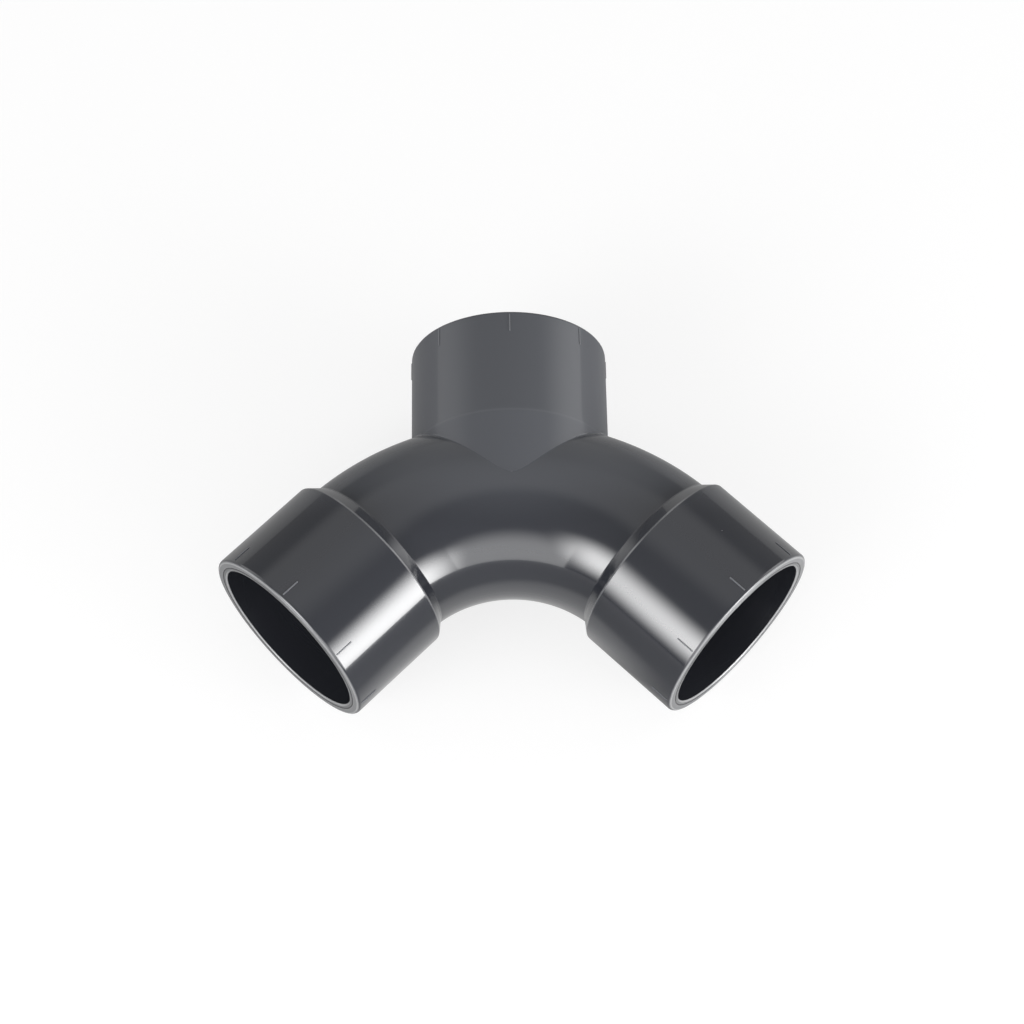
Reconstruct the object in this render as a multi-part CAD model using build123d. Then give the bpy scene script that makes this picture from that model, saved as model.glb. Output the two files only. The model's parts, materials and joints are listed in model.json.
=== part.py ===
from build123d import *
from math import cos, radians, sin, sqrt, tan
import os

# Swept wye fitting for solvent-welded pressure pipe, moulded in one piece, sizes in millimetres.
# A bend carries a socket at each end and a third, straight socket on its heel. The three socket
# axes lie in the plane z = 0 and meet at the origin. The branch points along +Y, and the legs of
# the bend point forwards to the right and to the left.

# Pipe that the sockets take
pipe_diameter = 63.0
pipe_wall = 3.0

# Sockets
socket_clearance = 0.1
socket_depth = 38.0
socket_wall = 5.0
stop_backing = 2.6
shoulder_length = 4.7
rim_round = 1.2
shoulder_round = 0.8
bore_lead_in = 0.4

# Swept body
body_wall = 4.25
bend_radius = 74.0
bend_angle = 90.0
branch_stop_ledge = 1.2
branch_core_draft = 1.0
junction_fillet = 1.2

# Raised marks around each mouth, for lining up the pipes
mark_count = 8
mark_length = 7.0
mark_width = 0.5
mark_height = 0.25
mark_gap = 0.2

# Radii: a pipe seats against its stop, where the waterway is as wide as the pipe's own bore
bore_radius = pipe_diameter / 2 + socket_clearance
collar_radius = bore_radius + socket_wall
waterway_radius = pipe_diameter / 2 - pipe_wall
body_radius = waterway_radius + body_wall
collar_length = socket_depth + stop_backing

# Places along the axes: the branch's pipe stop lies just clear of the bend's waterway
half_bend = radians(bend_angle / 2)
centre_to_origin = bend_radius / cos(half_bend)
leg_reach = bend_radius * tan(half_bend) + collar_length
waterway_brink = sqrt((bend_radius + waterway_radius) ** 2 - waterway_radius ** 2)
branch_stop = waterway_brink + branch_stop_ledge - bend_radius
branch_neck = branch_stop - stop_backing
branch_reach = bend_radius + branch_stop + socket_depth - centre_to_origin

# Mouth planes, each with its Z axis pointing out of its socket
branch_mouth = Plane(origin=(0, branch_reach, 0), x_dir=(1, 0, 0), z_dir=(0, 1, 0))
leg_mouths = []
for side in (1, -1):
    outwards = Vector(side * cos(half_bend), -sin(half_bend), 0)
    leg_mouths.append(Plane(origin=outwards * leg_reach, x_dir=(0, 0, 1), z_dir=outwards))


def swept_bend(radius):
    """Round bar of the given radius, swept through the bend."""
    section = Plane.XZ * Pos(bend_radius, 0) * Circle(radius)
    sweep = revolve(section, axis=Axis.Z, revolution_arc=bend_angle)
    return Pos(0, -centre_to_origin, 0) * Rot(0, 0, 90 - bend_angle / 2) * sweep


def turned(points):
    """Solid of revolution about Z, from the (radius, height) points of its half section."""
    outline = Polyline([(radius, 0, height) for radius, height in points], close=True)
    return revolve(make_face(outline), axis=Axis.Z)


def ring_edge(solid, place):
    """Circular edge of a turned solid, counted down from its top."""
    return solid.edges().filter_by(GeomType.CIRCLE).sort_by(Axis.Z)[-place]


def socket_outside(neck_length, end_round=0):
    """Collar with its mouth at z = 0, and a cone down to the body that ends inside its wall."""
    neck_slope = (collar_radius - body_radius) / neck_length
    root_length = neck_length / 4
    root_radius = body_radius - root_length * neck_slope
    root_height = -collar_length - neck_length - root_length
    collar = turned([
        (0, 0),
        (collar_radius, 0),
        (collar_radius, -collar_length),
        (root_radius, root_height),
        (0, root_height),
    ])
    if end_round:
        collar = fillet(ring_edge(collar, 2), end_round)
    return fillet(ring_edge(collar, 1), rim_round)


def socket_inside(root_length, root_radius):
    """Room for the pipe down to its stop, and the waterway on to the bend."""
    root_height = -socket_depth - root_length
    return turned([
        (0, bore_lead_in),
        (bore_radius + 2 * bore_lead_in, bore_lead_in),
        (bore_radius, -bore_lead_in),
        (bore_radius, -socket_depth),
        (waterway_radius, -socket_depth),
        (root_radius, root_height),
        (0, root_height),
    ])


def marks(mouth):
    """Raised marks around a collar, each standing half out of its surface."""
    middle = rim_round + mark_gap + mark_length / 2
    mark = Pos(0, 0, -middle) * Box(2 * mark_height, mark_width, mark_length)
    return [mouth * place * mark for place in PolarLocations(collar_radius, mark_count)]


# Outside, where the legs have rounded shoulders and every seam with the bend is filleted
bars = [swept_bend(body_radius), branch_mouth * socket_outside(branch_neck)]
for mouth in leg_mouths:
    bars.append(mouth * socket_outside(shoulder_length, shoulder_round))
outside = bars[0] + bars[1:]
outside = fillet(new_edges(*bars, combined=outside), junction_fillet)

# Inside, where the branch's core narrows a little down to the bend's centre line
branch_core_radius = waterway_radius - branch_stop * tan(radians(branch_core_draft))
cores = [swept_bend(waterway_radius), branch_mouth * socket_inside(branch_stop, branch_core_radius)]
for mouth in leg_mouths:
    cores.append(mouth * socket_inside(stop_backing, waterway_radius))

wye_body = outside - cores
for mouth in [branch_mouth, *leg_mouths]:
    wye_body += marks(mouth)

os.makedirs("parts", exist_ok=True)
export_step(wye_body.solid(), "parts/wye_body.step")
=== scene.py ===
import json
from math import atan2, ceil, cos, pi, radians, sin, tan

import bmesh
import bpy
import numpy as np
from mathutils import Matrix, Vector


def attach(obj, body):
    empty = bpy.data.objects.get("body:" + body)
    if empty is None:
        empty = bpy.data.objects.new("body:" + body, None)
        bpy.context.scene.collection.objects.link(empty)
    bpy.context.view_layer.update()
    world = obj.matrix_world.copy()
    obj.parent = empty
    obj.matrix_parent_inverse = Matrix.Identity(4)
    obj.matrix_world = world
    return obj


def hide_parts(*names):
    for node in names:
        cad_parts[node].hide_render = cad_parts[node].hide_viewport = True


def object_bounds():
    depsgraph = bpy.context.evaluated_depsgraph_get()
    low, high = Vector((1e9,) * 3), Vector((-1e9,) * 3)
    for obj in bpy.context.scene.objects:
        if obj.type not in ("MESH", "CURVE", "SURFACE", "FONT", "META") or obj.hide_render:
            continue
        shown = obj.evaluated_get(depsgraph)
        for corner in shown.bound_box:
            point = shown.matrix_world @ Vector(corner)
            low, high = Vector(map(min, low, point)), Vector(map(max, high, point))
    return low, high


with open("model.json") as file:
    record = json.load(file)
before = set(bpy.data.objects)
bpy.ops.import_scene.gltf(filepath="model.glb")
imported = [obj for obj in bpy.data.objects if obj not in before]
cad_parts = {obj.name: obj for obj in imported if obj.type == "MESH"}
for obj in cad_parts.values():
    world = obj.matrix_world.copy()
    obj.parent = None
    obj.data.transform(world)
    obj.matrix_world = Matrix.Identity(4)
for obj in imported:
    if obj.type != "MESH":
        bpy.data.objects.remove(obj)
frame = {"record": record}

# The fitting: a swept wye moulded in one piece, with its three socket axes in the plane z = 0.
# The branch points along +Y, and the legs of the bend point forwards to the right and left.

cad_lowest, cad_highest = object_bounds()
MM = 0.001
UP = np.array((0.0, 0.0, 1.0))

# Sizes in metres: the mouths and bores come from the frame, and the rest is the solid's own
mounts = {mount["name"]: mount for mount in frame["record"]["mounts"]}
bore_radius = mounts["branch_socket"]["dims"]["r_mm"] * MM
branch_reach = cad_highest.y
socket_wall = 5.0 * MM
socket_depth = 38.0 * MM
collar_length = 40.6 * MM
shoulder_length = 4.7 * MM
body_radius = 32.75 * MM
waterway_radius = 28.5 * MM
bend_radius = 74.0 * MM
half_bend = radians(45)
branch_core_draft = radians(1.0)

collar_radius = bore_radius + socket_wall
centre_to_origin = bend_radius / cos(half_bend)
leg_reach = bend_radius * tan(half_bend) + collar_length
bend_centre = np.array((0.0, -centre_to_origin, 0.0))

# Rounded edges and the balls that roll along the seams
rim_round = 1.2 * MM
shoulder_round = 0.8 * MM
branch_round = 1.5 * MM
lead_in = 0.4 * MM
mould_edge = 0.15 * MM
stop_round = 0.3 * MM
outer_seam_round = 1.2 * MM
inner_seam_round = 0.3 * MM

# Fine line that the stripper ring of the mould leaves around each rim
witness_radius = collar_radius - 3.3 * MM
witness_width = 0.5 * MM
witness_depth = 0.22 * MM

# Raised marks around each mouth
mark_count = 8
mark_length = 7.0 * MM
mark_width = 0.5 * MM
mark_height = 0.25 * MM
mark_gap = 0.2 * MM
mark_edge = 0.1 * MM

# Stub of the mould's gate: where it stands on the bend, as its turn along it and its lean round it,
# and in millimetres its rings (radius, height), its middle's height and how uneven it is
gate_turn = atan2(-3.9, 60.3)
gate_lean = radians(66.2)
gate_steps = 28
gate_rings = ((0.35, 0.16), (0.62, 0.11), (0.8, 0.09), (0.92, -0.05), (0.95, -0.3))
gate_middle = 0.12
gate_wave = 0.06
gate_wobble = 0.03
gate_tears = 0.02

# Fineness of the skin's mesh: its columns and rows, the shares of a collar that are turned as one
# with the branch's rim and over which the columns become even, and how far the branch's rows bend
seam_columns = 120
inside_columns = 92
bend_rows = 34
fillet_rows = 5
corner_rows = 4
cone_rows = 11
blend_rows = 8
longest_row = 3.5 * MM
shoulder_start = 0.3 * MM
turned_share = 0.25
even_share = 0.9
row_lift = 0.3
merge_distance = 0.002 * MM
sliver_length = 0.001 * MM

# How the seams are found: steps of halving, fine steps along a seam, the leans between which the
# branch's seam has its top, outside and inside, and the turns that the seams stay within
halvings = 50
fine_steps = 2000
outer_top_leans = radians(60), radians(95)
inner_top_leans = radians(45), radians(90)
branch_widest_turn = half_bend * 0.8
leg_least_turn = half_bend * 0.7
least_opening = 1e-6

# How the branch's own skin is told from the bend's: by its cone, down to the crease's lowest point
surface_tolerance = 0.02 * MM
crease_reach = 8.0 * MM


def columns(values):
    """Values made ready to multiply vectors."""
    return np.asarray(values)[..., None]


class Socket:
    """A socket's mouth, its axis out of the mouth, and the direction of its outer side."""

    def __init__(self, axis, side, reach):
        self.axis = np.array(axis)
        self.side = np.array(side)
        self.mouth = self.axis * reach

    def spread(self, radius, height, angle):
        """Vectors at the given radius and angle round the axis, and the given height along it."""
        round_axis = columns(np.cos(angle)) * self.side + columns(np.sin(angle)) * UP
        return columns(radius) * round_axis + columns(height) * self.axis

    def measure(self, points):
        """Radius, height and angle of points, as seen from the mouth."""
        offset = points - self.mouth
        height = offset @ self.axis
        sideways = offset @ self.side
        upwards = offset @ UP
        return np.hypot(sideways, upwards), height, np.arctan2(upwards, sideways)


branch = Socket((0.0, 1.0, 0.0), (1.0, 0.0, 0.0), branch_reach)
leg = Socket((cos(half_bend), -sin(half_bend), 0.0), (sin(half_bend), cos(half_bend), 0.0), leg_reach)


def on_bend(turn, lean, radius):
    """Points and normals of a tube round the bend: turn runs along it, and lean round the tube."""
    turn, lean = np.broadcast_arrays(turn, lean)
    outwards = np.stack((np.sin(turn), np.cos(turn), np.zeros(turn.shape)), -1)
    normals = columns(np.cos(lean)) * outwards + columns(np.sin(lean)) * UP
    return bend_centre + bend_radius * outwards + radius * normals, normals


# Half sections of the sockets: each gives its radius at a height, and how fast that changes

neck_end = -(branch_reach + centre_to_origin - bend_radius)
neck_slope = (collar_radius - body_radius) / (-collar_length - neck_end)
shoulder_slope = (collar_radius - body_radius) / shoulder_length


def branch_outside(height):
    """The branch's collar, then a gentle cone that reaches the body on the bend's centre line."""
    half_width = branch_round
    below = -collar_length - height
    blend = np.clip(below + half_width, 0, 2 * half_width)
    drop = blend ** 2 / (4 * half_width) + np.maximum(below - half_width, 0)
    return collar_radius - neck_slope * drop, neck_slope * blend / (2 * half_width)


def shoulder(height):
    """The leg's steep cone behind its collar."""
    return collar_radius - shoulder_slope * (-collar_length - height), shoulder_slope


def branch_core(height):
    """The branch's waterway, which narrows a little towards the bend."""
    slope = tan(branch_core_draft)
    return waterway_radius - slope * (-socket_depth - height), slope


def ball_at(turn, lean, ball, tube_radius, socket, section):
    """Gap between a ball rolling on the bend and a socket's surface, and the ball's centre."""
    centre, _ = on_bend(turn, lean, tube_radius + ball)
    radius, height, angle = socket.measure(centre)
    surface, slope = section(height)
    flatten = 1 / np.hypot(1, slope)
    return (radius - surface) * flatten - ball, centre, height, angle, slope, flatten


def halve(gap, inside, outside):
    """Where a gap that is negative inside and positive outside becomes nothing."""
    for _ in range(halvings):
        middle = (inside + outside) / 2
        clear = gap(middle) > 0
        outside = np.where(clear, middle, outside)
        inside = np.where(clear, inside, middle)
    return outside


class Seam:
    """A fillet between the bend and a socket, rolled by a ball, with one column for each lean."""

    def __init__(self, lean, turn, ball, tube_radius, socket, section):
        _, centre, height, angle, slope, flatten = ball_at(turn, lean, ball, tube_radius, socket, section)
        on_tube, tube_normals = on_bend(turn, lean, tube_radius)
        socket_normals = socket.spread(flatten, -slope * flatten, angle)
        self.turn = turn
        self.height = height + ball * slope * flatten
        self.angle = angle
        radius, slope = section(self.height)
        on_socket = socket.mouth + socket.spread(radius, self.height, angle)
        self.socket_normals = socket.spread(1 / np.hypot(1, slope), -slope / np.hypot(1, slope), angle)
        opening = np.arccos(np.clip((tube_normals * socket_normals).sum(-1), -1, 1))
        opening = np.maximum(opening, least_opening)
        rows = []
        for share in np.linspace(0, 1, fillet_rows + 1):
            from_tube = columns(np.sin((1 - share) * opening) / np.sin(opening))
            from_socket = columns(np.sin(share * opening) / np.sin(opening))
            rows.append(from_tube * tube_normals + from_socket * socket_normals)
        self.normals = np.stack(rows)
        self.points = centre - ball * self.normals
        self.points[0] = on_tube
        self.points[-1] = on_socket


def even_steps(points, count):
    """Places, in steps of the points' own index, that cut their polyline into equal lengths."""
    lengths = np.linalg.norm(np.diff(points, axis=0), axis=1)
    along = np.concatenate(((0,), np.cumsum(lengths)))
    return np.interp(np.linspace(0, along[-1], count), along, np.arange(len(points)))


def branch_seam(ball, tube_radius, section, lowest_lean, highest_lean):
    """The seam round the branch's right half, from its top over its side to its bottom."""
    def gap(turn, lean):
        return ball_at(turn, lean, ball, tube_radius, branch, section)[0]

    top_lean = float(halve(lambda lean: gap(0.0, lean), lowest_lean, highest_lean))
    crowded = top_lean * (1 - np.linspace(0, 1, fine_steps) ** 2)
    turns = halve(lambda turn: gap(turn, crowded), np.zeros(crowded.shape), branch_widest_turn)
    turns[0] = 0.0
    quarter = even_steps(on_bend(turns, crowded, tube_radius)[0], seam_columns // 2 + 1)
    lean = np.interp(quarter, np.arange(len(crowded)), crowded)
    lean = np.concatenate((lean, -lean[-2::-1]))
    turn = halve(lambda turn: gap(turn, lean), np.zeros(lean.shape), branch_widest_turn)
    turn[[0, -1]] = 0.0
    return lean, Seam(lean, turn, ball, tube_radius, branch, section)


def closed_leans(lean):
    """Leans round the whole tube: those of the branch's seam, then even ones round the inner side."""
    inner_side = np.linspace(lean[-1], lean[0] - 2 * pi, inside_columns + 1)
    return np.concatenate((lean, inner_side[1:-1]))


# Turned skins: a section is a list of places (radius, height) with their outward normals


def section_of(corners):
    """Places and normals of a half section with rounded corners, each (radius, height, round).

    It runs up the outside, over the rim and down the bore."""
    points = [Vector(corner[:2]) for corner in corners]
    places = [points[0]]
    directions = [(points[1] - points[0]).normalized()]
    for before, corner, after, (_, _, size) in zip(points, points[1:], points[2:], corners[1:]):
        arriving = (corner - before).normalized()
        leaving = (after - corner).normalized()
        turn = atan2(arriving.x * leaving.y - arriving.y * leaving.x, arriving.dot(leaving))
        bulge = size if turn > 0 else -size
        arc_start = corner - arriving * size * abs(tan(turn / 2))
        centre = arc_start - Vector((arriving.y, -arriving.x)) * bulge
        for step in range(corner_rows + 1):
            direction = Matrix.Rotation(turn * step / corner_rows, 2) @ arriving
            places.append(centre + Vector((direction.y, -direction.x)) * bulge)
            directions.append(direction)
    places.append(points[-1])
    directions.append((points[-1] - points[-2]).normalized())
    fine_places, fine_normals = [places[0]], [directions[0]]
    for start, end, direction in zip(places, places[1:], directions[1:]):
        pieces = max(1, ceil((end - start).length / longest_row))
        for step in range(1, pieces + 1):
            fine_places.append(start.lerp(end, step / pieces))
            fine_normals.append(direction)
    normals = np.array([(direction.y, -direction.x) for direction in fine_normals])
    return np.array(fine_places), normals


def rim_corners():
    """The mouth's flat rim with its witness line, from the collar to the bore."""
    return [
        (collar_radius, 0, rim_round),
        (witness_radius + witness_width / 2, 0, mould_edge / 2),
        (witness_radius, -witness_depth, mould_edge / 2),
        (witness_radius - witness_width / 2, 0, mould_edge / 2),
        (bore_radius + lead_in, 0, mould_edge),
        (bore_radius, -lead_in, mould_edge),
        (bore_radius, -socket_depth, stop_round),
        (waterway_radius, -socket_depth, stop_round),
    ]


def turned_skin(socket, places, normals, angles):
    """Points and normals of a section turned round a socket's axis, one angle for each column."""
    points = socket.mouth + socket.spread(places[:, None, 0], places[:, None, 1], angles)
    return points, socket.spread(normals[:, None, 0], normals[:, None, 1], angles)


def inner_rows(normals):
    """1 for each row of a section from the bore's lead-in down, and 0 before it."""
    return columns(np.cumsum(normals[:, 0] < -0.5) > 0).astype(float)


def blend_angles(outer, middle, inner, places):
    """Angles for each row, which go over from the outer seam's to even ones at the rim and back."""
    height = places[:, 1]
    collar_share = np.clip(1 + height / (collar_length * even_share), 0, 1)[:, None]
    outside = np.arange(len(places)) < np.argmax(height > -1e-9)
    ends = np.where(outside[:, None], outer, inner)
    return collar_share * middle + (1 - collar_share) * ends


class Skin:
    """Patches of the fitting's skin, each a grid of points with their outward normals."""

    def __init__(self):
        self.points = []
        self.normals = []
        self.inner = []
        self.faces = []
        self.count = 0

    def add(self, points, normals, closed=False, inner=0.0):
        """Adds one grid; a closed grid's last column joins its first, and inner is 1 inside the pipe."""
        rows, across = points.shape[:2]
        index = self.count + np.arange(rows * across).reshape(rows, across)
        if closed:
            index = np.column_stack((index, index[:, 0]))
        quads = np.stack((index[:-1, :-1], index[1:, :-1], index[1:, 1:], index[:-1, 1:]), -1)
        quads = quads.reshape(-1, 4)
        flat_points = points.reshape(-1, 3)
        flat_normals = normals.reshape(-1, 3)
        corners = flat_points[quads - self.count]
        facing = np.cross(corners[:, 2] - corners[:, 0], corners[:, 3] - corners[:, 1])
        if (facing * flat_normals[quads[:, 0] - self.count]).sum() < 0:
            quads = quads[:, ::-1]
        self.points.append(flat_points)
        self.normals.append(flat_normals)
        self.inner.append(np.broadcast_to(inner, (rows, across)).ravel())
        self.faces.append(quads)
        self.count += len(flat_points)

    def mirrored(self):
        """Everything so far and its mirror image across the plane x = 0, as four arrays."""
        flip = np.array((-1.0, 1.0, 1.0))
        points = np.concatenate(self.points)
        normals = np.concatenate(self.normals)
        inner = np.concatenate(self.inner)
        faces = np.concatenate(self.faces)
        return (np.concatenate((points, points * flip)), np.concatenate((normals, normals * flip)),
                np.concatenate((inner, inner)), np.concatenate((faces, faces[:, ::-1] + len(points))))


def add_bend(skin, lean, seam, leg_seam, tube_radius, direction):
    """The right half of a tube round the bend, from the branch's seam to the leg's."""
    all_leans = closed_leans(lean)
    start = np.zeros(all_leans.shape)
    start[:len(lean)] = seam.turn
    end = half_bend if leg_seam is None else leg_seam.turn
    share = columns(np.linspace(0, 1, bend_rows + 1))
    points, normals = on_bend(start + share * (end - start), all_leans, tube_radius)
    skin.add(points, direction * normals, closed=True, inner=float(direction < 0))


def cone_skin(section, heights, angles):
    """Points and normals of the branch's skin, at the given heights and angles round its axis."""
    radius, slope = section(heights)
    level = 1 / np.hypot(1, slope)
    points = branch.mouth + branch.spread(radius, heights, angles)
    return points, branch.spread(level, -slope * level, angles)


def add_branch(skin, out_seam, in_seam):
    """The branch's right half: rim, bore and stop, then its outside and its core to their seams."""
    even_half = np.linspace(pi / 2, -pi / 2, seam_columns + 1)
    core_top = -socket_depth - 3 * stop_round
    places, normals = section_of([
        (collar_radius, -collar_length * turned_share, 0),
        *rim_corners(),
        (branch_core(core_top)[0], core_top, 0)])
    rim_angles = blend_angles(out_seam.angle, even_half, in_seam.angle, places)
    skin.add(*turned_skin(branch, places, normals, rim_angles), inner=inner_rows(normals))

    top = places[0, 1]
    kink = -collar_length + branch_round * np.linspace(1, -1, blend_rows + 1)
    above = np.linspace(top, kink[0], cone_rows + 1)[:-1]
    below = np.linspace(kink[-1], out_seam.height.min(), cone_rows + 1)[1:]
    levels = np.concatenate((above, kink, below))
    shares = np.linspace(1, 0, len(levels))[:, None] ** 2
    heights = np.maximum(levels[:, None], out_seam.height + shares * row_lift * (top - out_seam.height))
    heights[0] = top
    drop = (top - heights) / (top - out_seam.height)
    angles = (1 - drop) * rim_angles[0] + drop * out_seam.angle
    skin.add(*cone_skin(branch_outside, heights, angles))

    bottom = places[-1, 1]
    share = columns(np.linspace(0, 1, blend_rows + 1))
    heights = bottom + share * (in_seam.height - bottom)
    angles = rim_angles[-1] + share * (in_seam.angle - rim_angles[-1])
    points, normals = cone_skin(branch_core, heights, angles)
    skin.add(points, -normals, inner=1.0)


def add_leg(skin, out_lean, in_lean):
    """The right leg: its shoulder's seam, shoulder, collar, rim, bore, stop and waterway."""
    out_all = closed_leans(out_lean)
    in_all = closed_leans(in_lean)
    leg_turn = halve(
        lambda turn: ball_at(turn, out_all, outer_seam_round, body_radius, leg, shoulder)[0],
        np.full(out_all.shape, half_bend), np.full(out_all.shape, leg_least_turn))
    leg_seam = Seam(out_all, leg_turn, outer_seam_round, body_radius, leg, shoulder)
    skin.add(leg_seam.points, leg_seam.normals, closed=True)
    first_height = leg_seam.height.max() + shoulder_start
    first_radius, _ = shoulder(first_height)
    places, normals = section_of([
        (first_radius, first_height, 0),
        (collar_radius, -collar_length, shoulder_round),
        *rim_corners(),
        (waterway_radius, -collar_length, 0)])
    even_round = np.linspace(pi / 2, -3 * pi / 2, len(out_all), endpoint=False)
    leg_angles = blend_angles(np.unwrap(leg_seam.angle), even_round, in_all, places)
    skin.add(*turned_skin(leg, places, normals, leg_angles), closed=True, inner=inner_rows(normals))
    first_row = leg.mouth + leg.spread(first_radius, first_height, leg_angles[0])
    first_normals = leg.spread(*normals[0], leg_angles[0])
    skin.add(np.stack((leg_seam.points[-1], first_row)),
             np.stack((leg_seam.socket_normals, first_normals)), closed=True)
    return leg_seam


def fitting_skin():
    """The whole skin, inside and out, of the fitting's right half."""
    skin = Skin()
    out_lean, out_seam = branch_seam(
        outer_seam_round, body_radius, branch_outside, *outer_top_leans)
    in_lean, in_seam = branch_seam(
        inner_seam_round, waterway_radius, branch_core, *inner_top_leans)
    skin.add(out_seam.points, out_seam.normals)
    skin.add(in_seam.points, -in_seam.normals, inner=1.0)
    add_branch(skin, out_seam, in_seam)
    leg_seam = add_leg(skin, out_lean, in_lean)
    add_bend(skin, out_lean, out_seam, leg_seam, body_radius, 1)
    add_bend(skin, in_lean, in_seam, None, waterway_radius, -1)
    return skin


def new_piece(name, mesh):
    """An object that shows a mesh, in the scene."""
    piece = bpy.data.objects.new(name, mesh)
    bpy.context.scene.collection.objects.link(piece)
    return piece


def finish_skin(name, points, normals, inner, faces):
    """A piece whose patches are joined along their edges and shaded by their own normals.

    Its points carry numbers for its materials: inner is 1 in the bores and the waterway, on_branch
    is 1 on the branch's outside, and depth and reach are measured from the nearest mouth."""
    mesh = bpy.data.meshes.new(name)
    mesh.from_pydata(points, [], faces.tolist())
    branch_reaches, branch_heights, _ = branch.measure(points)
    leg_reaches, leg_heights, _ = leg.measure(np.column_stack((np.abs(points[:, 0]), points[:, 1:])))
    nearer_branch = branch_heights > leg_heights
    on_surface = branch_reaches < branch_outside(branch_heights)[0] + surface_tolerance
    on_branch = on_surface & (branch_heights > neck_end - crease_reach) & (inner == 0)
    carried = {
        "inner": inner,
        "on_branch": on_branch.astype(float),
        "depth": -np.where(nearer_branch, branch_heights, leg_heights),
        "reach": np.where(nearer_branch, branch_reaches, leg_reaches),
    }
    mesh.attributes.new("outward", "FLOAT_VECTOR", "POINT").data.foreach_set("vector", normals.ravel())
    for attribute, values in carried.items():
        mesh.attributes.new(attribute, "FLOAT", "POINT").data.foreach_set("value", values)
    work = bmesh.new()
    work.from_mesh(mesh)
    bmesh.ops.remove_doubles(work, verts=work.verts, dist=merge_distance)
    bmesh.ops.dissolve_degenerate(work, edges=work.edges, dist=sliver_length)
    work.to_mesh(mesh)
    work.free()
    smooth = np.zeros(len(mesh.vertices) * 3)
    mesh.attributes["outward"].data.foreach_get("vector", smooth)
    mesh.attributes.remove(mesh.attributes["outward"])
    mesh.shade_smooth()
    mesh.normals_split_custom_set_from_vertices(smooth.reshape(-1, 3).tolist())
    return new_piece(name, mesh)


# Node trees


class Tree:
    """Adds nodes to a tree, with each input given as a value or as another node's output."""

    def __init__(self, tree):
        self.tree = tree

    def put(self, value, socket):
        """Gives an input its value or its link."""
        if isinstance(value, bpy.types.NodeSocket):
            self.tree.links.new(value, socket)
        else:
            socket.default_value = value

    def add(self, kind, inputs=(), **settings):
        """One node; its settings are set before its inputs."""
        node = self.tree.nodes.new(kind)
        for setting, value in settings.items():
            setattr(node, setting, value)
        for socket, value in dict(inputs).items():
            self.put(value, node.inputs[socket])
        return node

    def math(self, operation, *values):
        """The result of one sum."""
        return self.add("ShaderNodeMath", enumerate(values), operation=operation).outputs[0]

    def ramp(self, value, start, end, low=0.0, high=1.0):
        """A value carried smoothly from low at start to high at end."""
        node = self.add("ShaderNodeMapRange", interpolation_type="SMOOTHSTEP")
        for socket, given in zip(("Value", "From Min", "From Max", "To Min", "To Max"),
                                 (value, start, end, low, high)):
            self.put(given, node.inputs[socket])
        return node.outputs["Result"]

    def noise(self, vector, scale, detail=2.0, roughness=0.5):
        """Noise from 0 to 1."""
        return self.add("ShaderNodeTexNoise", {
            "Vector": vector, "Scale": scale, "Detail": detail, "Roughness": roughness}).outputs["Fac"]

    def blend(self, factor, first, second):
        """A mix of two colours."""
        return self.add("ShaderNodeMix", {0: factor, 6: first, 7: second}, data_type="RGBA").outputs[2]

    def attribute(self, name):
        """A number that the mesh carries at each point."""
        return self.add("ShaderNodeAttribute", attribute_name=name).outputs["Fac"]

    def place(self):
        """The point of the object that is being shaded."""
        return self.add("ShaderNodeTexCoord").outputs["Object"]

    def part_of(self, vector, axis):
        """One of the three numbers of a vector."""
        return self.add("ShaderNodeSeparateXYZ", {0: vector}).outputs[axis]

    def group(self, node_group, inputs):
        """The outputs of a node group that is placed here with these inputs."""
        return self.add("ShaderNodeGroup", inputs, node_tree=node_group).outputs


def new_group(name, kind, inputs, outputs):
    """A node group with named inputs (name, type, value) and outputs (name, type)."""
    group = bpy.data.node_groups.new(name, kind)
    for socket_name, socket_type, value in inputs:
        socket = group.interface.new_socket(socket_name, in_out="INPUT", socket_type=socket_type)
        socket.default_value = value
    for socket_name, socket_type in outputs:
        group.interface.new_socket(socket_name, in_out="OUTPUT", socket_type=socket_type)
    tree = Tree(group)
    return tree, tree.add("NodeGroupInput").outputs, tree.add("NodeGroupOutput").inputs


# Unevenness of moulded plastic: broad clouds, fine grain and soft ripples, and the streaks that
# wiping leaves, by a turned and stretched noise
clouds_per_metre = 28.0
grain_per_metre = 1400.0
grain_share = 0.3
ripples_per_metre = 170.0
streak_turn = (0.5, 0.3, 0.8)
streaks_per_metre = (60.0, 60.0, 420.0)


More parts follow.
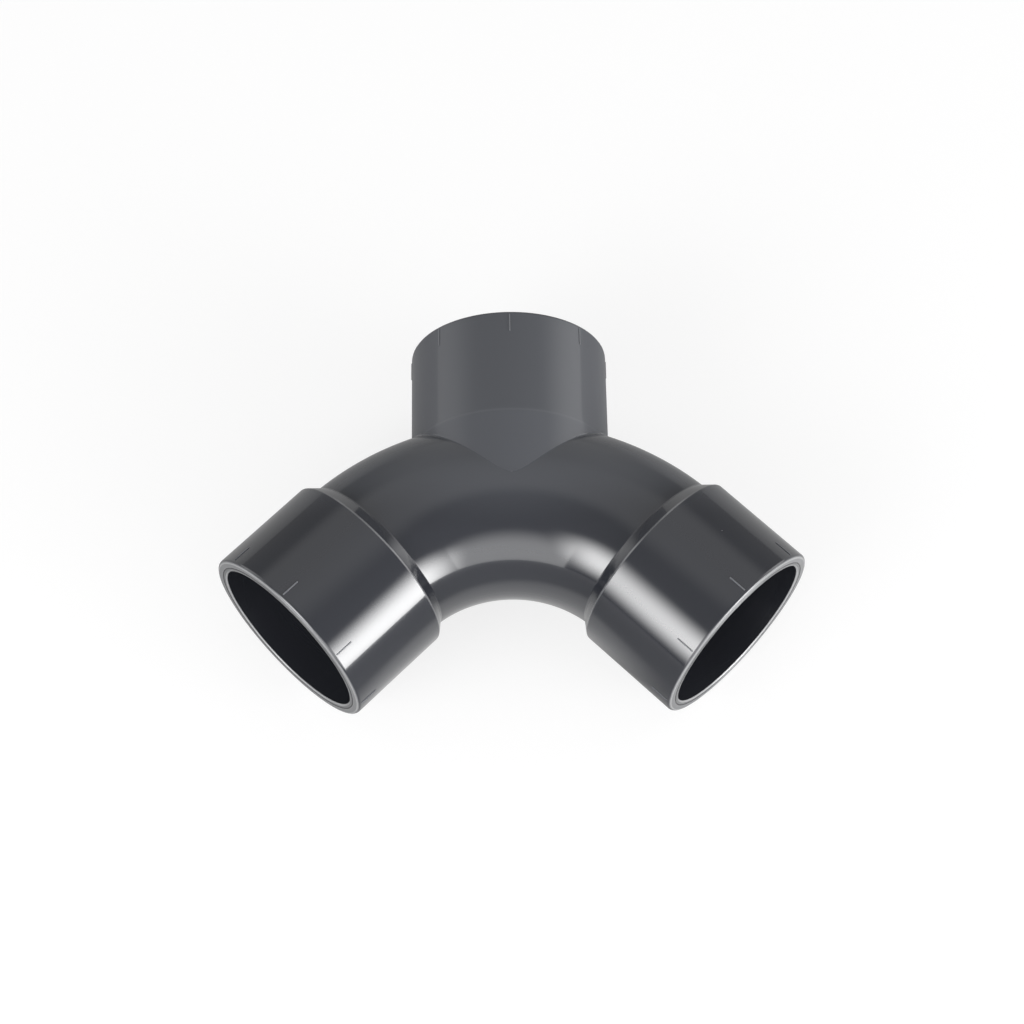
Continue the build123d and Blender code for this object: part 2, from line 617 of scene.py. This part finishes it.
def moulded_group():
    """Moulded plastic: a colour with a faint mottle, an uneven gloss and a finely rippled skin."""
    tree, given, result = new_group("moulded_plastic", "ShaderNodeTree", [
        ("Colour", "NodeSocketColor", (0.04, 0.04, 0.04, 1)),
        ("Mottle", "NodeSocketFloat", 0.1),
        ("Roughness", "NodeSocketFloat", 0.2),
        ("Roughness Change", "NodeSocketFloat", 0.1),
        ("Ripple", "NodeSocketFloat", 0.000004),
    ], [("Colour", "NodeSocketColor"), ("Roughness", "NodeSocketFloat"), ("Height", "NodeSocketFloat")])
    place = tree.place()
    clouds = tree.noise(place, clouds_per_metre, 4.0, 0.6)
    grain = tree.noise(place, grain_per_metre, 2.0, 0.6)
    ripple = tree.noise(place, ripples_per_metre, 2.0, 0.45)
    broad = tree.math("MULTIPLY", clouds, 1 - grain_share)
    unevenness = tree.math("MULTIPLY_ADD", grain, grain_share, broad)
    lift = tree.math("SUBTRACT", unevenness, 0.5)
    factor = tree.math("MULTIPLY_ADD", lift, given["Mottle"], 1.0)
    tint = tree.add("ShaderNodeVectorMath", {0: given["Colour"], "Scale": factor}, operation="SCALE")
    tree.put(tint.outputs[0], result["Colour"])
    stretched = tree.add("ShaderNodeMapping", {
        "Vector": place, "Rotation": streak_turn, "Scale": streaks_per_metre}).outputs[0]
    wiped = tree.math("SUBTRACT", tree.noise(stretched, 1.0, 3.0, 0.6), 0.5)
    uneven_gloss = tree.math("MULTIPLY_ADD", wiped, given["Roughness Change"], given["Roughness"])
    tree.put(uneven_gloss, result["Roughness"])
    tree.put(tree.math("MULTIPLY", ripple, given["Ripple"]), result["Height"])
    return tree.tree


def dust_group():
    """Sparse pale specks of dust and lint, each of its own size."""
    tree, given, result = new_group("dust", "ShaderNodeTree", [
        ("Colour", "NodeSocketColor", (0.04, 0.04, 0.04, 1)),
        ("Dust Colour", "NodeSocketColor", (0.3, 0.3, 0.3, 1)),
        ("Specks per Metre", "NodeSocketFloat", 180.0),
        ("Speck Size", "NodeSocketFloat", 0.05),
        ("Amount", "NodeSocketFloat", 0.3),
    ], [("Colour", "NodeSocketColor"), ("Mask", "NodeSocketFloat")])
    cells = tree.add("ShaderNodeTexVoronoi", {"Vector": tree.place(), "Scale": given["Specks per Metre"]})
    chance = tree.add("ShaderNodeSeparateColor", {"Color": cells.outputs["Color"]}).outputs
    reach = tree.math("MULTIPLY", given["Speck Size"], chance["Green"])
    speck = tree.math("LESS_THAN", cells.outputs["Distance"], reach)
    mask = tree.math("MULTIPLY", speck, tree.math("LESS_THAN", chance["Red"], given["Amount"]))
    tree.put(tree.blend(mask, given["Colour"], given["Dust Colour"]), result["Colour"])
    tree.put(mask, result["Mask"])
    return tree.tree


def core_bands_group():
    """Faint rings round a bore, left by the turned core that shaped it."""
    tree, given, result = new_group("core_bands", "ShaderNodeTree", [
        ("Depth", "NodeSocketFloat", 0.0),
        ("Bands per Metre", "NodeSocketFloat", 500.0),
        ("Inside", "NodeSocketFloat", 1.0),
    ], [("Bands", "NodeSocketFloat")])
    steps = tree.math("MULTIPLY", given["Depth"], given["Bands per Metre"])
    rings = tree.add("ShaderNodeTexNoise", {"W": steps, "Scale": 1.0, "Detail": 3.0, "Roughness": 0.7},
                     noise_dimensions="1D").outputs["Fac"]
    tree.put(tree.math("MULTIPLY", tree.math("SUBTRACT", rings, 0.5), given["Inside"]), result["Bands"])
    return tree.tree


# A trimmed rim: how deep its flat goes, its dark witness line and the painted highlights along its edges,
# and its paleness between them
rim_flat_core, rim_flat_edge = 0.2 * MM, 0.6 * MM
witness_line_width = 0.4 * MM
inner_highlight_width = 0.5 * MM
outer_highlight_width = 0.4 * MM
outer_highlight_strength = 0.8
line_core = 0.4
ring_paleness = 0.5
least_paleness = 0.15


def trimmed_rim_and_highlights_group():
    """A rim trimmed on a lathe: paler and duller, with fine rings, a dark line at its witness and
    painted highlights along its edges."""
    tree, given, result = new_group("trimmed_rim_and_highlights", "ShaderNodeTree", [
        ("Colour", "NodeSocketColor", (0.04, 0.04, 0.04, 1)),
        ("Pale Colour", "NodeSocketColor", (0.3, 0.3, 0.3, 1)),
        ("Depth", "NodeSocketFloat", 0.0),
        ("Reach", "NodeSocketFloat", 0.0),
        ("Witness Reach", "NodeSocketFloat", 0.033),
        ("Inner Reach", "NodeSocketFloat", 0.032),
        ("Outer Reach", "NodeSocketFloat", 0.0355),
        ("Rings per Metre", "NodeSocketFloat", 2500.0),
    ], [("Colour", "NodeSocketColor"), ("Mask", "NodeSocketFloat"), ("Rings", "NodeSocketFloat")])
    steps = tree.math("MULTIPLY", given["Reach"], given["Rings per Metre"])
    rings = tree.add("ShaderNodeTexNoise", {"W": steps, "Scale": 1.0, "Detail": 2.0},
                     noise_dimensions="1D").outputs["Fac"]

    def line(reach, width):
        """1 on a ring at the given reach, and 0 beyond its width."""
        aside = tree.math("ABSOLUTE", tree.math("SUBTRACT", given["Reach"], reach))
        return tree.ramp(aside, width, width * line_core)

    flat = tree.ramp(given["Depth"], rim_flat_edge, rim_flat_core)
    dark = tree.math("SUBTRACT", 1.0, line(given["Witness Reach"], witness_line_width))
    mask = tree.math("MULTIPLY", flat, dark)
    # Painted highlights: pale lines along the rim's rounded inner and outer edges
    inner_highlight = line(given["Inner Reach"], inner_highlight_width)
    outer_highlight = line(given["Outer Reach"], outer_highlight_width)
    painted_highlights = tree.math("MAXIMUM", inner_highlight, tree.math("MULTIPLY", outer_highlight, outer_highlight_strength))
    strength = tree.math("MULTIPLY_ADD", rings, ring_paleness, least_paleness)
    strength = tree.math("MULTIPLY", mask, tree.math("MAXIMUM", strength, painted_highlights))
    tree.put(tree.blend(strength, given["Colour"], given["Pale Colour"]), result["Colour"])
    tree.put(mask, result["Mask"])
    tree.put(tree.math("MULTIPLY", rings, mask), result["Rings"])
    return tree.tree


moulded_plastic = moulded_group()
dust = dust_group()
core_bands = core_bands_group()
trimmed_rim_and_highlights = trimmed_rim_and_highlights_group()

# Colours of the plastic and of what dust and the lathe leave on it; the marks' grey and the rim grey also
# carry painted highlights, and black is for painted shade
grey = (0.0275, 0.0295, 0.0365, 1)
# The marks are the body's plastic made paler, as painted highlight for the light their raised edges catch
mark_grey_painted_highlight = (0.155, 0.16, 0.175, 1)
vestige_grey = (0.085, 0.088, 0.096, 1)
dust_grey = (0.22, 0.225, 0.235, 1)
satin_grey = (0.38, 0.40, 0.44, 1)
rim_and_highlight_grey = (0.55, 0.555, 0.565, 1)
painted_shade_black = (0, 0, 0, 1)

# The clear, glossy coat that stands for the gloss of the moulding
plastic_ior = 1.54
coat_ior = 1.5
coat_roughness = 0.04

# Unevenness of the moulded skin's colour and gloss
mottle = 0.12
gloss_change = 0.08

# Dust: how dense and large its specks are, how far they stand out, and how dull they are
specks_per_metre = 150.0
speck_size = 0.035
speck_height = 0.02 * MM
speck_dullness = 0.4

# Bores: the turned core's bands, how much duller the plastic is inside, and how much painted shade darkens
# it there
bands_per_metre = 520.0
band_height = 0.003 * MM
band_dullness = 0.25
inside_dullness = 0.1
inside_painted_shade = 0.25

# Rims: where the two painted highlights lie along the edges, the lathe's rings and how dull they are
highlight_edge_inset = 0.25 * MM
highlight_edge_outset = 1.0 * MM
lathe_ring_height = 0.01 * MM
rim_dullness = 0.2

# Painted highlight along the edge between a collar and its shoulder, for the light that edge catches,
# fainter on the branch
highlight_line_lag = 0.15 * MM
highlight_line_core, highlight_line_edge = 0.15 * MM, 0.55 * MM
highlight_depth_core, highlight_depth_edge = 0.4 * MM, 0.9 * MM
highlight_patches_per_metre = 60.0
highlight_patch_core, highlight_patch_edge = 0.75, 0.25
highlight_least, highlight_most = 0.15, 0.4
highlight_branch_loss = 0.92

# Line that the two halves of the mould leave in the plane of the axes
mould_line_width = 0.16 * MM
mould_line_height = 0.02 * MM

# The branch's skin is duller and paler than the bend's: its colour and its coat go over to the
# bend's between two places along Y, and its roughness changes at the crease
satin_start = -50.0 * MM
satin_end = -27.0 * MM
satin_paleness = 0.13
satin_coat_loss = 0.65
satin_dullness = 0.24


def new_material(name):
    """A material with its tree and its Principled shader."""
    material = bpy.data.materials.new(name)
    material.use_nodes = True
    shader = material.node_tree.nodes["Principled BSDF"]
    return material, Tree(material.node_tree), shader


def plain_plastic(tree, colour, roughness, ripple, dusty):
    """Colour, roughness and bump height of moulded plastic with a little dust."""
    skin = tree.group(moulded_plastic, {
        "Colour": colour, "Mottle": mottle, "Roughness": roughness, "Roughness Change": gloss_change,
        "Ripple": ripple})
    specks = tree.group(dust, {
        "Colour": skin["Colour"], "Dust Colour": dust_grey, "Specks per Metre": specks_per_metre,
        "Speck Size": speck_size, "Amount": dusty})
    gloss = tree.math("MULTIPLY_ADD", specks["Mask"], speck_dullness, skin["Roughness"])
    height = tree.math("MULTIPLY_ADD", specks["Mask"], speck_height, skin["Height"])
    return specks["Colour"], gloss, height


def finish_plastic(tree, shader, coloured, gloss, height, coat):
    """Joins the plastic's values to its shader."""
    bump = tree.add("ShaderNodeBump", {"Strength": 1.0, "Distance": 1.0, "Height": height})
    tree.put(coloured, shader.inputs["Base Color"])
    tree.put(gloss, shader.inputs["Roughness"])
    tree.put(bump.outputs["Normal"], shader.inputs["Normal"])
    tree.put(coat, shader.inputs["Coat Weight"])
    shader.inputs["IOR"].default_value = plastic_ior
    shader.inputs["Coat IOR"].default_value = coat_ior
    shader.inputs["Coat Roughness"].default_value = coat_roughness


def plastic_material(name, colour, roughness, ripple, coat, dusty):
    """Moulded plastic for a small piece."""
    material, tree, shader = new_material(name)
    finish_plastic(tree, shader, *plain_plastic(tree, colour, roughness, ripple, dusty), coat)
    return material


def painted_shoulder_highlight(tree, depth, reach, dull):
    """How much painted highlight lies on the edge between a collar and its shoulder."""
    behind = tree.math("ABSOLUTE", tree.math("SUBTRACT", depth, collar_length + highlight_line_lag))
    beneath = tree.math("SUBTRACT", collar_radius, reach)
    painted_highlight = tree.math("MULTIPLY", tree.ramp(behind, highlight_line_edge, highlight_line_core),
                     tree.ramp(beneath, highlight_depth_edge, highlight_depth_core))
    patches = tree.noise(tree.place(), highlight_patches_per_metre)
    patchy = tree.ramp(patches, highlight_patch_edge, highlight_patch_core, highlight_least, highlight_most)
    painted_highlight = tree.math("MULTIPLY", painted_highlight, patchy)
    return tree.math("MULTIPLY", painted_highlight, tree.math("MULTIPLY_ADD", dull, -highlight_branch_loss, 1.0))


def fitting_material():
    """The body's plastic: painted shade in banded bores, painted highlights on rim and shoulder edges, a
    mould line, a duller branch.
    """
    material, tree, shader = new_material("grey_body")
    coloured, gloss, height = plain_plastic(tree, grey, roughness=0.13, ripple=0.0025 * MM, dusty=0.3)
    inside, depth, reach = (tree.attribute(name) for name in ("inner", "depth", "reach"))
    dull = tree.ramp(tree.part_of(tree.place(), "Y"), satin_start, satin_end)

    bands = tree.group(core_bands, {
        "Depth": depth, "Bands per Metre": bands_per_metre, "Inside": inside})["Bands"]
    height = tree.math("MULTIPLY_ADD", bands, band_height, height)
    gloss = tree.math("MULTIPLY_ADD", bands, band_dullness, gloss)
    gloss = tree.math("MULTIPLY_ADD", inside, inside_dullness, gloss)

    rim = tree.group(trimmed_rim_and_highlights, {
        "Colour": coloured, "Pale Colour": rim_and_highlight_grey, "Depth": depth, "Reach": reach,
        "Witness Reach": witness_radius, "Inner Reach": bore_radius + highlight_edge_inset,
        "Outer Reach": collar_radius - highlight_edge_outset})
    # Painted shade: the bores and waterway are blended towards black, where shade falls inside the pipe
    coloured = tree.blend(tree.math("MULTIPLY", inside, inside_painted_shade), rim["Colour"], painted_shade_black)
    # Painted highlight: rim grey laid in patches along each collar's shoulder edge
    coloured = tree.blend(painted_shoulder_highlight(tree, depth, reach, dull), coloured, rim_and_highlight_grey)
    height = tree.math("MULTIPLY_ADD", rim["Rings"], lathe_ring_height, height)
    gloss = tree.math("MULTIPLY_ADD", rim["Mask"], rim_dullness, gloss)

    from_plane = tree.math("ABSOLUTE", tree.part_of(tree.place(), "Z"))
    line = tree.ramp(from_plane, mould_line_width, 0.0)
    line = tree.math("MULTIPLY", line, tree.math("SUBTRACT", 1.0, inside))
    height = tree.math("MULTIPLY_ADD", line, mould_line_height, height)

    gloss = tree.math("MULTIPLY_ADD", tree.attribute("on_branch"), satin_dullness, gloss)
    coloured = tree.blend(tree.math("MULTIPLY", dull, satin_paleness), coloured, satin_grey)
    coat = tree.math("MULTIPLY_ADD", dull, -satin_coat_loss, 1.0)
    finish_plastic(tree, shader, coloured, gloss, height, coat)
    return material


body_material = fitting_material()
# The marks' paler grey is painted highlight
mark_material = plastic_material(
    "grey_marks", mark_grey_painted_highlight, roughness=0.45, ripple=0.001 * MM, coat=0.2, dusty=0.1)
vestige_material = plastic_material(
    "grey_vestige", vestige_grey, roughness=0.5, ripple=0.01 * MM, coat=0.0, dusty=0.0)

body = finish_skin("moulded_body", *fitting_skin().mirrored())
body.data.materials.append(body_material)
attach(body, "root")
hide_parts("wye_body")


def marks_group():
    """Marks round a collar: a circle of upright bars, with its mouth at z = 0."""
    tree, given, result = new_group("alignment_marks", "GeometryNodeTree", [
        ("Count", "NodeSocketInt", 8),
        ("Radius", "NodeSocketFloat", 0.036),
        ("Length", "NodeSocketFloat", 0.007),
        ("Width", "NodeSocketFloat", 0.0005),
        ("Height", "NodeSocketFloat", 0.00025),
        ("Setback", "NodeSocketFloat", 0.0014),
    ], [("Geometry", "NodeSocketGeometry")])
    ring = tree.add("GeometryNodeMeshCircle", {"Vertices": given["Count"], "Radius": given["Radius"]})
    size = tree.add("ShaderNodeCombineXYZ", {
        "X": tree.math("MULTIPLY", given["Height"], 2.0), "Y": given["Width"], "Z": given["Length"]})
    bar = tree.add("GeometryNodeMeshCube", {"Size": size.outputs[0]})
    middle = tree.math("MULTIPLY_ADD", given["Length"], -0.5, tree.math("MULTIPLY", given["Setback"], -1.0))
    below = tree.add("ShaderNodeCombineXYZ", {"Z": middle})
    lowered = tree.add("GeometryNodeTransform", {"Geometry": bar.outputs["Mesh"],
                                                 "Translation": below.outputs[0]})
    facing = tree.add("FunctionNodeAlignRotationToVector", {
        "Vector": tree.add("GeometryNodeInputPosition").outputs[0]}, axis="X", pivot_axis="Z")
    copies = tree.add("GeometryNodeInstanceOnPoints", {
        "Points": ring.outputs["Mesh"], "Instance": lowered.outputs["Geometry"],
        "Rotation": facing.outputs["Rotation"]})
    real = tree.add("GeometryNodeRealizeInstances", {"Geometry": copies.outputs["Instances"]})
    painted = tree.add("GeometryNodeSetMaterial", {"Geometry": real.outputs["Geometry"],
                                                   "Material": mark_material})
    tree.put(painted.outputs["Geometry"], result["Geometry"])
    return tree.tree


def ring_of_marks():
    """The mesh that the marks' node group makes."""
    holder = new_piece("marks_holder", bpy.data.meshes.new("marks_holder"))
    modifier = holder.modifiers.new("marks", "NODES")
    modifier.node_group = marks_group()
    sizes = {"Count": mark_count, "Radius": collar_radius, "Length": mark_length, "Width": mark_width,
             "Height": mark_height, "Setback": rim_round + mark_gap}
    for item in modifier.node_group.interface.items_tree:
        if item.in_out == "INPUT":
            modifier[item.identifier] = sizes[item.name]
    placed = holder.evaluated_get(bpy.context.evaluated_depsgraph_get())
    ring = bpy.data.meshes.new_from_object(placed)
    bpy.data.objects.remove(holder)
    return ring


def build_marks():
    """The marks of all three mouths in one piece, with their edges rounded."""
    ring = ring_of_marks()
    work = bmesh.new()
    for socket, flip in ((branch, 1), (leg, 1), (leg, -1)):
        before = len(work.verts)
        work.from_mesh(ring)
        work.verts.ensure_lookup_table()
        side, axis, mouth = (Vector(part) for part in (socket.side, socket.axis, socket.mouth))
        for vector in (side, axis, mouth):
            vector.x *= flip
        turn = Matrix((side, axis.cross(side), axis)).transposed().to_4x4()
        bmesh.ops.transform(work, matrix=Matrix.Translation(mouth) @ turn, verts=work.verts[before:])
    bmesh.ops.bevel(work, geom=work.edges, offset=mark_edge, segments=2, profile=0.5, affect="EDGES")
    mesh = bpy.data.meshes.new("alignment_marks")
    work.to_mesh(mesh)
    work.free()
    mesh.materials.append(mark_material)
    return new_piece("alignment_marks", mesh)


marks = build_marks()
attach(marks, "root")


def build_vestige():
    """The trimmed stub of the mould's gate: a low, uneven disc on top of the bend, in millimetres
    until it is put in its place."""
    centre, normal = on_bend(gate_turn, gate_lean, body_radius)
    normal = Vector(normal)
    mesh = bpy.data.meshes.new("gate_vestige")
    work = bmesh.new()
    random = np.random.default_rng(7)
    rows = []
    for reach, height in gate_rings:
        row = []
        for step in range(gate_steps):
            angle = 2 * pi * step / gate_steps
            wobble = 1 + gate_wave * sin(3 * angle + 1) + gate_wobble * random.standard_normal()
            lift = height + (gate_tears * random.standard_normal() if height > 0 else 0)
            row.append(work.verts.new((reach * wobble * cos(angle), reach * wobble * sin(angle), lift)))
        rows.append(row)
    middle = work.verts.new((0, 0, gate_middle))
    bottom = work.verts.new((0, 0, gate_rings[-1][1]))
    for step in range(gate_steps):
        after = (step + 1) % gate_steps
        work.faces.new((middle, rows[0][step], rows[0][after]))
        for upper, lower in zip(rows, rows[1:]):
            work.faces.new((upper[step], lower[step], lower[after], upper[after]))
        work.faces.new((bottom, rows[-1][after], rows[-1][step]))
    turn = normal.to_track_quat("Z", "Y").to_matrix().to_4x4()
    place = Matrix.Translation(centre) @ turn @ Matrix.Scale(MM, 4)
    bmesh.ops.transform(work, matrix=place, verts=work.verts)
    work.to_mesh(mesh)
    work.free()
    mesh.shade_smooth()
    mesh.materials.append(vestige_material)
    return new_piece("gate_vestige", mesh)


vestige = build_vestige()
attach(vestige, "root")

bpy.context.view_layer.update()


# Studio: a pale floor, seven softboxes and a faint, even sky

floor_half = 3.0
floor_grey = (0.26, 0.26, 0.26, 1)
floor_roughness = 0.9
floor_glow = 0.76
full_glow = 1.0
glow_start = 0.4
glow_end = 1.5

# Gloss sees little of the floor's glow in front of the fitting, more of it behind and to the right,
# and half of it on a spot between the legs
spot_middle = (-15.0 * MM, -80.0 * MM, cad_lowest.z)
spot_core = 25.0 * MM
spot_reach = 60.0 * MM
spot_share = 0.5
behind_direction = (0.35, 1.0, 0.0)
behind_start = -110.0 * MM
behind_end = -20.0 * MM
front_share = 0.03
behind_share = 0.24


def add_floor():
    """A wide floor that the fitting lies on; its own glow makes it white for the camera."""
    mesh = bpy.data.meshes.new("floor")
    signs = ((-1, -1), (1, -1), (1, 1), (-1, 1))
    corners = [(across * floor_half, along * floor_half, cad_lowest.z) for across, along in signs]
    mesh.from_pydata(corners, [], [(0, 1, 2, 3)])
    material, tree, shader = new_material("white_floor")
    shader.inputs["Base Color"].default_value = floor_grey
    shader.inputs["Roughness"].default_value = floor_roughness
    shader.inputs["Specular IOR Level"].default_value = 0.0
    rays = tree.add("ShaderNodeLightPath").outputs
    from_spot = tree.add("ShaderNodeVectorMath", {0: tree.place(), 1: spot_middle},
                         operation="DISTANCE").outputs["Value"]
    behind = tree.add("ShaderNodeVectorMath", {0: tree.place(), 1: behind_direction},
                      operation="DOT_PRODUCT").outputs["Value"]
    share = tree.math("MAXIMUM", tree.ramp(from_spot, spot_core, spot_reach, spot_share, 0.0),
                      tree.ramp(behind, behind_start, behind_end, front_share, behind_share))
    mirrored = tree.math("MULTIPLY", rays["Is Glossy Ray"], share)
    direct = tree.math("MAXIMUM", rays["Is Camera Ray"], rays["Is Transmission Ray"])
    seen = tree.math("MAXIMUM", direct, mirrored)
    shader.inputs["Emission Color"].default_value = (1, 1, 1, 1)
    away = tree.add("ShaderNodeVectorMath", {0: tree.place()}, operation="LENGTH").outputs["Value"]
    glow = tree.ramp(away, glow_start, glow_end, floor_glow, full_glow)
    tree.put(tree.math("MULTIPLY", seen, glow), shader.inputs["Emission Strength"])
    mesh.materials.append(material)
    floor = new_piece("floor", mesh)


def softbox_group():
    """How bright a softbox is across its front: full in the middle, and fading to its edges."""
    tree, given, result = new_group("softbox_front", "ShaderNodeTree", [
        ("Across", "NodeSocketVector", (0, 0, 0)),
        ("Side Edge", "NodeSocketFloat", 0.5),
        ("Upper Edge", "NodeSocketFloat", 0.5),
    ], [("Share", "NodeSocketFloat")])
    share = 1.0
    for axis, edge in (("X", given["Side Edge"]), ("Y", given["Upper Edge"])):
        part = tree.part_of(given["Across"], axis)
        from_middle = tree.math("ABSOLUTE", tree.math("SUBTRACT", part, 0.5))
        inner = tree.math("MULTIPLY_ADD", edge, -0.5, 0.5)
        share = tree.math("MULTIPLY", tree.ramp(from_middle, 0.5, inner), share)
    tree.put(share, result["Share"])
    return tree.tree


# Each softbox: azimuth and elevation of its middle, half its width and height in degrees as the
# fitting sees them, the shares of both that fade towards its edges, and its brightness
softboxes = {
    "right_softbox": (-31, 9, 33, 30, 0.95, 0.95, 10.5),
    "left_softbox": (221, 26, 27, 26, 0.95, 0.95, 8.0),
    "front_softbox": (272, 13, 33, 32, 0.05, 0.8, 1.9),
    "top_softbox": (84, 64, 54, 33, 0.6, 0.6, 0.3),
    "back_softbox": (88, 16, 28, 32, 0.7, 0.7, 0.3),
    "right_fill": (24, 11, 26, 38, 0.8, 0.8, 1.4),
    "left_fill": (155, 11, 26, 38, 0.8, 0.8, 0.9),
}
softbox_target = Vector((0, -35, 0)) * MM
softbox_distance = 1.4
sky_strength = 0.22
white_strength = 1.0


def light_studio():
    """Softboxes round the fitting and an even sky; the camera sees plain white instead."""
    front = softbox_group()
    for name, sizes in softboxes.items():
        azimuth, elevation, half_width, half_height = (radians(angle) for angle in sizes[:4])
        side_edge, upper_edge, brightness = sizes[4:]
        away = Vector((cos(azimuth) * cos(elevation), sin(azimuth) * cos(elevation), sin(elevation)))
        lamp = bpy.data.lights.new(name, "AREA")
        lamp.shape = "RECTANGLE"
        lamp.size = 2 * softbox_distance * tan(half_width)
        lamp.size_y = 2 * softbox_distance * tan(half_height)
        lamp.energy = brightness * pi * lamp.size * lamp.size_y
        lamp.use_nodes = True
        tree = Tree(lamp.node_tree)
        across = tree.add("ShaderNodeNewGeometry").outputs["Parametric"]
        share = tree.group(front, {"Across": across, "Side Edge": side_edge, "Upper Edge": upper_edge})
        tree.put(share["Share"], lamp.node_tree.nodes["Emission"].inputs["Strength"])
        holder = bpy.data.objects.new(name, lamp)
        holder.location = softbox_target + away * softbox_distance
        holder.rotation_euler = away.to_track_quat("Z", "Y").to_euler()
        holder.visible_camera = False
        bpy.context.scene.collection.objects.link(holder)
    world = bpy.data.worlds.new("studio")
    world.use_nodes = True
    tree = Tree(world.node_tree)
    camera_sees = tree.add("ShaderNodeLightPath").outputs["Is Camera Ray"]
    background = world.node_tree.nodes["Background"]
    background.inputs["Color"].default_value = (1, 1, 1, 1)
    strength = tree.ramp(camera_sees, 0.0, 1.0, sky_strength, white_strength)
    tree.put(strength, background.inputs["Strength"])
    bpy.context.scene.world = world


camera_azimuth = radians(-2.1332)
camera_elevation = radians(64.0336)
camera_roll = radians(1.3862)
camera_target = Vector((0.33, -31.21, 0.0)) * MM
camera_distance = 925.74 * MM
camera_lens = 88.41
camera_nearest = 50 * MM


def add_camera():
    """The camera that the photo's outlines agree with."""
    azimuth, elevation, roll = camera_azimuth, camera_elevation, camera_roll
    backwards = Vector((sin(azimuth) * cos(elevation), -cos(azimuth) * cos(elevation), sin(elevation)))
    level = Vector((cos(azimuth), sin(azimuth), 0))
    upright = backwards.cross(level)
    across = cos(roll) * level + sin(roll) * upright
    above = cos(roll) * upright - sin(roll) * level
    camera = bpy.data.objects.new("camera", bpy.data.cameras.new("camera"))
    camera.data.lens = camera_lens
    camera.data.clip_start = camera_nearest
    camera.matrix_world = (Matrix.Translation(camera_target + backwards * camera_distance)
                           @ Matrix((across, above, backwards)).transposed().to_4x4())
    bpy.context.scene.collection.objects.link(camera)
    bpy.context.scene.camera = camera


add_floor()
light_studio()
add_camera()
bpy.context.scene.view_settings.view_transform = "Standard"
